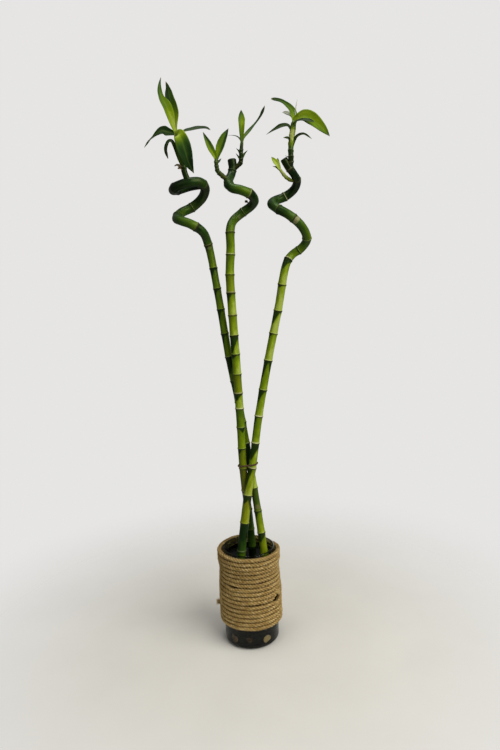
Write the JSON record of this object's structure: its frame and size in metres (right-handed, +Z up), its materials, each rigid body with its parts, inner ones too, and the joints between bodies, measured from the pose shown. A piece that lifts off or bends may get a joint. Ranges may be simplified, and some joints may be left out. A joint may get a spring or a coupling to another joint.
{
  "type": "lucky bamboo",
  "caption": "Lucky bamboo with spiral-trained canes and leafy shoots, standing in a rope-wrapped glass jar of dark pebbles and water.",
  "frame": {"origin": "centre of the jar's flat underside, on the surface that it stands on", "axes": "+Z up along the jar's axis, -Y towards the viewer of the picture, +X to the viewer's right"},
  "size_m": [0.1936, 0.0777, 0.6419],
  "materials": {
    "jar_glass": "clear gloss glass",
    "jute_rope": "matte twisted jute",
    "pebbles": "dark wet pebbles",
    "water": "clear still water",
    "cane_skin": "satin living green skin with pale leaf scars",
    "leaf": "satin living leaf",
    "tie_cord": "matte dark red-brown cord"
  },
  "bodies": {
    "root": {"glass_jar": "jar_glass", "rope_wrap": "jute_rope", "pebble_bed": "pebbles", "water": "water", "cane_left": "cane_skin", "cane_middle": "cane_skin", "cane_right": "cane_skin", "shoot_left": "leaf", "shoot_middle_left": "leaf", "shoot_middle_right": "leaf", "shoot_right_top": "leaf", "shoot_right_small": "leaf", "cane_tie": "tie_cord"}
  },
  "joints": []
}
